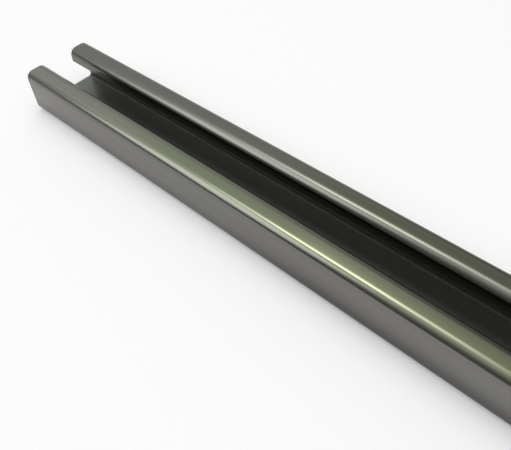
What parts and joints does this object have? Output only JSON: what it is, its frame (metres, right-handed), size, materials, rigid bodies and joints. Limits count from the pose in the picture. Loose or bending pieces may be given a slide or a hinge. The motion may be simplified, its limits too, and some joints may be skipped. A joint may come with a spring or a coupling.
{
  "type": "stainless steel mounting profile",
  "caption": "Slotted C-shaped mounting profile bent from one strip of stainless sheet, with lips turned in and down so that channel nuts slide inside it.",
  "frame": {"origin": "middle of the back, the flat face that the profile lies on", "axes": "+X along the profile, +Y across it, +Z out of the back towards the slot"},
  "size_m": [1, 0.03, 0.018],
  "materials": {
    "stainless_steel": "satin"
  },
  "bodies": {
    "root": {"c_profile": "stainless_steel"}
  },
  "joints": []
}
